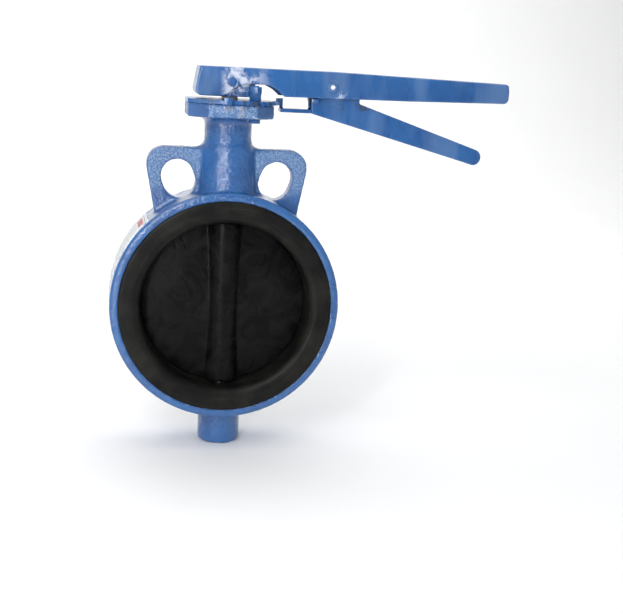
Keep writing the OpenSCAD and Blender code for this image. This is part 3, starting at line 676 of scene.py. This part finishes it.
class VALVE_OT_casting(bpy.types.Operator):
    """Build the cast body, with its sand marks"""
    bl_idname = "valve.casting"
    bl_label = "Cast body"

    def execute(self, context):
        sizes = context.scene.valve_casting
        piece = merged_copy("body", "casting")
        even_skin(piece, sizes.grid, passes=5)

        def sand(place):
            radius = math.hypot(place.x, place.z)
            if radius < RING_OUTSIDE:
                return 0.0
            ear = smooth_step(*EAR_SAND_X, abs(place.x)) * smooth_step(*EAR_SAND_Z, place.z)
            flange = smooth_step(*FLANGE_SAND_FOOT, place.z)
            flange *= 1 - smooth_step(*FLANGE_SAND_TOP, place.z)
            outer = RING_SAND if math.hypot(place.x, place.y) > STEM_CLEARANCE else 0.0
            return max(ear, flange, outer)

        def shoulder(place):
            if math.hypot(place.x, place.y) < STEM_CLEARANCE:
                return 0.0
            rise = abs(place.z - sizes.shoulder)
            return (1 - smooth_step(*SHOULDER_RISE, rise)) * (1 - smooth_step(*SHOULDER_X, abs(place.x)))

        weigh(piece, "shoulder", shoulder)
        apply_modifier(piece, "SMOOTH", factor=0.5, iterations=sizes.shoulder_passes, vertex_group="shoulder")
        weigh(piece, "sand", sand)
        grain = bpy.data.textures.new("sand_mould", "CLOUDS")
        grain.noise_scale = sizes.sand_grain
        grain.noise_depth = 3
        apply_modifier(piece, "DISPLACE", texture=grain, texture_coords="LOCAL", strength=sizes.sand_depth,
                       mid_level=0.5, vertex_group="sand")
        smooth_all(piece)
        settle(piece, BODY, "cast_enamel", "body")
        return {"FINISHED"}


class VALVE_OT_seat(bpy.types.Operator):
    """Build the rubber seat that lines the ring and laps its faces"""
    bl_idname = "valve.seat"
    bl_label = "Rubber seat"

    def execute(self, context):
        sizes = context.scene.valve_inside
        piece = merged_copy("seat_liner", "seat_moulding")
        even_skin(piece, sizes.seat_grid, passes=3)

        def crown(place):
            if math.hypot(place.x, place.z) > CROWN_EDGE:
                return 0.0
            return 1 - smooth_step(*CROWN_Y, abs(place.y))

        # A low crown round the bore closes on the disc's edge and slightly overlaps it
        weigh(piece, "crown", crown)
        apply_modifier(piece, "DISPLACE", strength=sizes.seat_crown, mid_level=0.0, vertex_group="crown")
        smooth_all(piece)
        settle(piece, BODY, "seat_rubber", "seat_liner")
        return {"FINISHED"}


class VALVE_OT_disc(bpy.types.Operator):
    """Build the disc and the two pins that fix it to the stem"""
    bl_idname = "valve.disc"
    bl_label = "Disc and pins"

    def execute(self, context):
        piece = merged_copy("disc", "disc_finished")
        even_skin(piece, context.scene.valve_inside.disc_grid, passes=4)
        smooth_all(piece)
        settle(piece, MOVING, "disc_coating", "disc")
        eased_piece("disc_pins", MOVING, "stainless", 0.4 * MILLIMETRE)
        return {"FINISHED"}


class VALVE_OT_stem(bpy.types.Operator):
    """Build the stem, its retaining ring, bushes, washers and seals"""
    bl_idname = "valve.stem"
    bl_label = "Stem and bearings"

    def execute(self, context):
        eased_piece("stem", MOVING, "stainless", 0.4 * MILLIMETRE)
        eased_piece("stem_circlip", MOVING, "spring_steel", 0.2 * MILLIMETRE)
        for node in ("upper_bush", "neck_bush", "lower_bush", "thrust_washer", "bottom_washer"):
            eased_piece(node, BODY, "bronze", 0.3 * MILLIMETRE)
        eased_piece("stem_o_rings", BODY, "seal_rubber", 0.1 * MILLIMETRE)
        return {"FINISHED"}


class VALVE_OT_notch_plate(bpy.types.Operator):
    """Build the notched plate and its countersunk screws"""
    bl_idname = "valve.notch_plate"
    bl_label = "Notch plate"

    def execute(self, context):
        eased_piece("notch_plate", BODY, "pressed_enamel", 0.5 * MILLIMETRE)
        eased_piece("plate_screws", BODY, "zinc_steel", 0.2 * MILLIMETRE)
        return {"FINISHED"}


class VALVE_OT_stop(bpy.types.Operator):
    """Build the stop bolt with its nut and lock nut"""
    bl_idname = "valve.stop"
    bl_label = "Stop bolt and nuts"

    def execute(self, context):
        eased_piece("stop_bolt", BODY, "pressed_enamel", 0.5 * MILLIMETRE)
        eased_piece("stop_nuts", BODY, "pressed_enamel", 0.6 * MILLIMETRE)
        return {"FINISHED"}


class VALVE_OT_lever(bpy.types.Operator):
    """Build the pressed lever, its hub and the cross pin"""
    bl_idname = "valve.lever"
    bl_label = "Hand lever"

    def execute(self, context):
        sizes = context.scene.valve_sheet
        piece = merged_copy("lever", "lever_pressing")
        even_skin(piece, sizes.lever_grid, passes=3)

        def bend(place):
            top = LEVER_HIGH.z - place.z
            fall = smooth_step(*LEVER_FALL_X, place.x) * LEVER_FALL
            return 1 - smooth_step(sizes.bend_reach * 0.8, sizes.bend_reach * 1.4, top - fall)

        weigh(piece, "bend", bend)
        apply_modifier(piece, "SMOOTH", factor=0.5, iterations=sizes.bend_passes, vertex_group="bend")
        smooth_all(piece)
        settle(piece, MOVING, "pressed_enamel", "lever")
        eased_piece("lever_hub", MOVING, "pressed_enamel", 0.6 * MILLIMETRE)
        eased_piece("cross_pin", MOVING, "pressed_enamel", 0.6 * MILLIMETRE, segments=3)
        return {"FINISHED"}


class VALVE_OT_trigger(bpy.types.Operator):
    """Build the squeeze trigger, its pivot pin and its spring"""
    bl_idname = "valve.trigger"
    bl_label = "Trigger"

    def execute(self, context):
        sizes = context.scene.valve_sheet
        piece = merged_copy("trigger", "trigger_pressing")
        even_skin(piece, sizes.trigger_grid, passes=5)
        smooth_all(piece)
        settle(piece, TRIGGER, "pressed_enamel", "trigger")
        eased_piece("trigger_pin", MOVING, "zinc_steel", 1.2 * MILLIMETRE, segments=5,
                    finish="pressed_enamel")
        eased_piece("trigger_spring", MOVING, "spring_steel", 0.05 * MILLIMETRE)
        return {"FINISHED"}


class VALVE_OT_name_plate(bpy.types.Operator):
    """Build the foil plate on the ring, mapped for its print"""
    bl_idname = "valve.name_plate"
    bl_label = "Name plate"

    def execute(self, context):
        piece = merged_copy("name_plate", "name_plate_finished")
        flatten_faces(piece, math.radians(0.05))
        angles = [math.atan2(v.co.z, -v.co.x) for v in piece.data.vertices]
        low, high = min(angles), max(angles)
        layer = piece.data.uv_layers.new(name="print")
        for corner in piece.data.loops:
            place = piece.data.vertices[corner.vertex_index].co
            across = (math.atan2(place.z, -place.x) - low) / (high - low)
            along = (place.y - LABEL_LOW.y) / (LABEL_HIGH.y - LABEL_LOW.y)
            layer.data[corner.index].uv = (across, along)
        smooth_shade(piece)
        settle(piece, BODY, "foil", "name_plate")
        return {"FINISHED"}


# ---------------------------------------------------------------- stage

def aim(thing, target):
    """Turn an object's -Z toward a point."""
    direction = Vector(target) - thing.location
    thing.rotation_euler = direction.to_track_quat("-Z", "Y").to_euler()


class VALVE_OT_stage(bpy.types.Operator):
    """Set the floor, the lights and the camera"""
    bl_idname = "valve.stage"
    bl_label = "Stage"

    def execute(self, context):
        stage = context.scene.valve_stage
        self.lay_floor(stage)
        self.hang_lights(stage)
        self.light_world(stage)
        self.set_camera(context.scene, stage)
        return {"FINISHED"}

    def lay_floor(self, stage):
        """A floor whose far edge turns up into a backdrop, with a wide cove at its foot."""
        slack = 0.01
        deselect_all()
        bpy.ops.mesh.primitive_plane_add(size=stage.floor_size, location=(0, 0, PACKED_BOX[0].z))
        floor = bpy.context.object
        floor.name = "floor"
        bpy.ops.object.transform_apply(location=True, rotation=True, scale=True)
        bpy.ops.object.mode_set(mode="EDIT")
        bpy.ops.mesh.select_mode(type="EDGE")
        bpy.ops.mesh.select_all(action="DESELECT")
        bpy.ops.object.mode_set(mode="OBJECT")
        back = stage.floor_size / 2 - slack
        for edge in floor.data.edges:
            edge.select = all(floor.data.vertices[i].co.y > back for i in edge.vertices)
        bpy.ops.object.mode_set(mode="EDIT")
        bpy.ops.mesh.extrude_region_move(TRANSFORM_OT_translate={"value": (0, 0, stage.floor_size / 2)})
        bpy.ops.object.mode_set(mode="OBJECT")
        foot = PACKED_BOX[0].z + slack
        for edge in floor.data.edges:
            places = [floor.data.vertices[i].co for i in edge.vertices]
            edge.select = all(place.y > back and place.z < foot for place in places)
        bpy.ops.object.mode_set(mode="EDIT")
        bpy.ops.mesh.bevel(offset=stage.floor_size / 4, segments=24)
        bpy.ops.object.mode_set(mode="OBJECT")
        bpy.ops.object.shade_smooth()
        floor.data.materials.append(finish_named("floor_paint"))

    def hang_lights(self, stage):
        """Area lights, each aimed at the valve or at a place of its own."""
        # Name, place, power, width and height
        lights = (
            ("key", (-0.70, -1.05, 1.30), stage.key_power, 0.9, 0.9),
            ("strip", (-0.31, -0.80, 0.33), stage.strip_power, 0.035, 0.85),
            ("fill", (1.2, -1.1, 0.7), stage.fill_power, 1.2, 1.2),
            ("top", (0.1, 0.5, 1.9), stage.top_power, 2.4, 2.4),
            ("backdrop", (0.0, 0.9, 1.5), stage.backdrop_power, 2.5, 0.6),
        )
        valve_middle = (0, 0, 0.10)
        targets = {"strip": (0, 0, 0.33), "backdrop": (0, stage.floor_size / 2, 0.5)}
        for name, place, power, width, height in lights:
            deselect_all()
            bpy.ops.object.light_add(type="AREA", location=place)
            light = bpy.context.object
            light.name = name
            light.data.shape = "RECTANGLE"
            light.data.energy = power
            light.data.size = width
            light.data.size_y = height
            aim(light, targets.get(name, valve_middle))

    def light_world(self, stage):
        """A room that is dim in front of the valve and bright behind and above it."""
        world = bpy.data.worlds.new("studio")
        world.use_nodes = True
        nodes, links = world.node_tree.nodes, world.node_tree.links
        toward = nodes.new("ShaderNodeTexCoord").outputs["Generated"]
        split = nodes.new("ShaderNodeSeparateXYZ")
        links.new(toward, split.inputs["Vector"])
        back = nodes.new("ShaderNodeMapRange")
        back.interpolation_type = "SMOOTHSTEP"
        links.new(split.outputs["Y"], back.inputs["Value"])
        for name, value in (("From Min", -0.1), ("From Max", 0.8), ("To Min", stage.front_glow),
                            ("To Max", stage.back_glow)):
            back.inputs[name].default_value = value
        nodes["Background"].inputs["Color"].default_value = (0.97, 0.98, 1.0, 1.0)
        links.new(back.outputs["Result"], nodes["Background"].inputs["Strength"])
        bpy.context.scene.world = world

    def set_camera(self, scene, stage):
        """A camera at its place, turned by azimuth, elevation and roll."""
        azimuth, elevation, roll = stage.azimuth, stage.elevation, stage.roll
        back = Vector((math.sin(azimuth) * math.cos(elevation), -math.cos(azimuth) * math.cos(elevation),
                       math.sin(elevation)))
        level = Vector((math.cos(azimuth), math.sin(azimuth), 0))
        upright = back.cross(level)
        right = math.cos(roll) * level + math.sin(roll) * upright
        up = math.cos(roll) * upright - math.sin(roll) * level
        deselect_all()
        bpy.ops.object.camera_add(location=stage.place)
        camera = bpy.context.object
        camera.data.lens = stage.lens
        camera.data.sensor_width = stage.sensor
        turn = Matrix((right, up, back)).transposed().to_4x4()
        camera.matrix_world = Matrix.Translation(stage.place) @ turn
        scene.camera = camera
        scene.view_settings.view_transform = "Standard"


# ---------------------------------------------------------------- add-on

class VALVE_PT_panel(bpy.types.Panel):
    """Lists the valve's pieces"""
    bl_idname = "VALVE_PT_panel"
    bl_label = "Butterfly valve"
    bl_space_type = "VIEW_3D"
    bl_region_type = "UI"
    bl_category = "Valve"

    def draw(self, context):
        for step in STEPS:
            self.layout.operator(step.bl_idname)
        for group in GROUPS:
            settings = getattr(context.scene, group)
            box = self.layout.box()
            for name in settings.bl_rna.properties.keys():
                if name not in {"rna_type", "name"}:
                    box.prop(settings, name)


GROUPS = {
    "valve_casting": CastingSettings,
    "valve_inside": InsideSettings,
    "valve_sheet": SheetSettings,
    "valve_enamel": EnamelSettings,
    "valve_stage": StageSettings,
}
STEPS = (
    VALVE_OT_casting, VALVE_OT_seat, VALVE_OT_disc, VALVE_OT_stem, VALVE_OT_notch_plate, VALVE_OT_stop,
    VALVE_OT_lever, VALVE_OT_trigger, VALVE_OT_name_plate, VALVE_OT_stage,
)


def register():
    for kind in (*GROUPS.values(), *STEPS, VALVE_PT_panel):
        bpy.utils.register_class(kind)
    for name, kind in GROUPS.items():
        setattr(bpy.types.Scene, name, PointerProperty(type=kind))


def unregister():
    for name in GROUPS:
        delattr(bpy.types.Scene, name)
    for kind in reversed((*GROUPS.values(), *STEPS, VALVE_PT_panel)):
        bpy.utils.unregister_class(kind)


def main():
    """Build every piece and the stage."""
    register()
    for step in STEPS:
        category, name = step.bl_idname.split(".")
        getattr(getattr(bpy.ops, category), name)()


if __name__ == "__main__":
    main()
